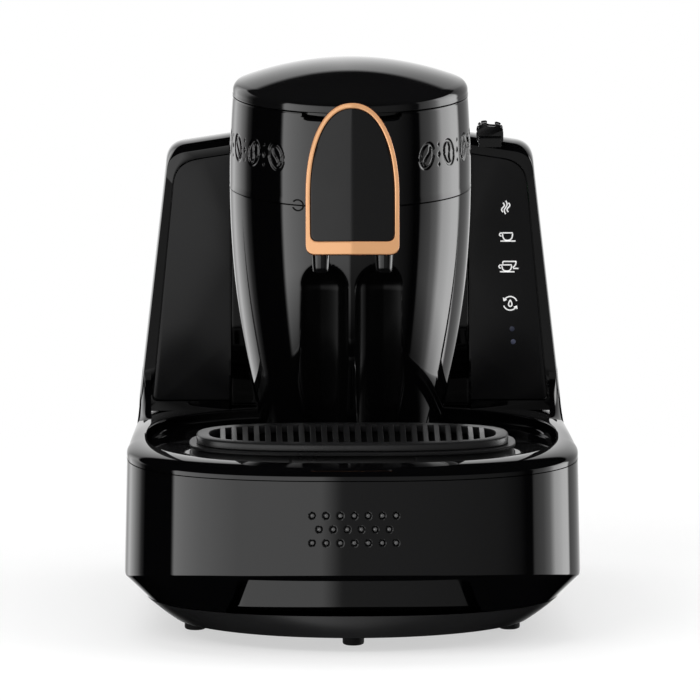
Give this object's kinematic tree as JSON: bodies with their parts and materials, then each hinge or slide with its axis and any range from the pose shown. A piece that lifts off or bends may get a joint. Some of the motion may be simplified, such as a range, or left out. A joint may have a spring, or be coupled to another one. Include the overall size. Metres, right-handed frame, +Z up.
{
  "type": "electric turkish coffee maker",
  "caption": "Free-standing electric Turkish coffee maker: lidded brewing tower with spouts over a cup grille and drip tray, touch-panel wings, removable rear water tank.",
  "frame": {"origin": "on the table under the centre of the overall box", "axes": "+Z up, front (spouts, cups) towards -Y, +X to the right as seen from the front"},
  "size_m": [0.243, 0.2866, 0.2935],
  "materials": {
    "gloss_black": "high gloss black moulding",
    "satin_black": "satin black moulding",
    "copper": "satin copper-coloured plated trim",
    "insert_black": "satin dark plate",
    "rubber_black": "matt rubber",
    "seal_rubber": "silicone",
    "steel": "plain steel",
    "tank_smoke": "smoked gloss plastic",
    "board_green": "circuit board",
    "hose_clear": "silicone hose",
    "led_lens": "unlit lamp lens"
  },
  "bodies": {
    "housing": {"base_pan": "satin_black", "base_shell": "gloss_black", "foot_front": "rubber_black", "foot_left": "rubber_black", "foot_right": "rubber_black", "foot_rear_left": "rubber_black", "foot_rear_right": "rubber_black", "base_screw_front_left": "steel", "base_screw_front_right": "steel", "base_screw_rear_left": "steel", "base_screw_rear_right": "steel", "main_board": "board_green", "power_supply": "satin_black", "pump": "steel", "pump_mount_left": "rubber_black", "pump_mount_right": "rubber_black", "suction_hose": "hose_clear", "delivery_hose": "hose_clear", "buzzer": "satin_black", "switch_bezel": "satin_black", "cord_gland": "satin_black", "upper_housing": "gloss_black", "left_panel": "satin_black", "control_panel": "satin_black", "touch_board": "board_green", "status_led_upper": "led_lens", "status_led_lower": "led_lens", "tower_lower": "gloss_black", "tower_upper": "gloss_black", "lid_hinge_pin": "steel", "brew_pot": "steel", "pot_gasket": "seal_rubber", "pot_heater": "steel", "heat_shield": "steel", "temperature_sensor": "steel", "transfer_tube": "hose_clear", "badge_frame": "copper", "badge_insert": "insert_black", "spout_head": "gloss_black", "spout_left": "satin_black", "spout_right": "satin_black", "valve_gasket": "rubber_black"},
    "lid": {"lid": "gloss_black", "lid_gasket": "seal_rubber"},
    "water_tank": {"water_tank": "tank_smoke", "tank_valve": "seal_rubber", "tank_lid_pin": "steel"},
    "tank_lid": {"tank_lid": "gloss_black", "latch_pin": "steel"},
    "tank_latch": {"tank_latch": "gloss_black"},
    "drip_tray": {"drip_tray": "satin_black"},
    "cup_grille": {"cup_grille": "satin_black"},
    "power_switch": {"power_switch": "gloss_black"}
  },
  "joints": [
    {"name": "lid_hinge", "type": "hinge", "parent": "housing", "child": "lid", "pos_m": [0, 0.098, 0.276], "axis": [-1, 0, 0], "range_deg": [0, 60]},
    {"name": "tank_lift", "type": "slide", "parent": "housing", "child": "water_tank", "axis": [0, 0, 1], "range_m": [0, 0.15]},
    {"name": "tank_lid_hinge", "type": "hinge", "parent": "water_tank", "child": "tank_lid", "pos_m": [0, 0.1335, 0.236], "axis": [-1, 0, 0], "range_deg": [0, 90]},
    {"name": "tank_latch_pivot", "type": "hinge", "parent": "tank_lid", "child": "tank_latch", "pos_m": [0.075, 0.046, 0.2473], "axis": [-1, 0, 0], "range_deg": [0, 30]},
    {"name": "tray_lift", "type": "slide", "parent": "housing", "child": "drip_tray", "axis": [0, -0.342, 0.9397], "range_m": [0, 0.06]},
    {"name": "grille_lift", "type": "slide", "parent": "drip_tray", "child": "cup_grille", "axis": [0, -0.342, 0.9397], "range_m": [0, 0.02]},
    {"name": "power_rocker", "type": "hinge", "parent": "housing", "child": "power_switch", "pos_m": [0.04, 0.1353, 0.062], "axis": [-1, 0, 0], "range_deg": [0, 14]}
  ]
}
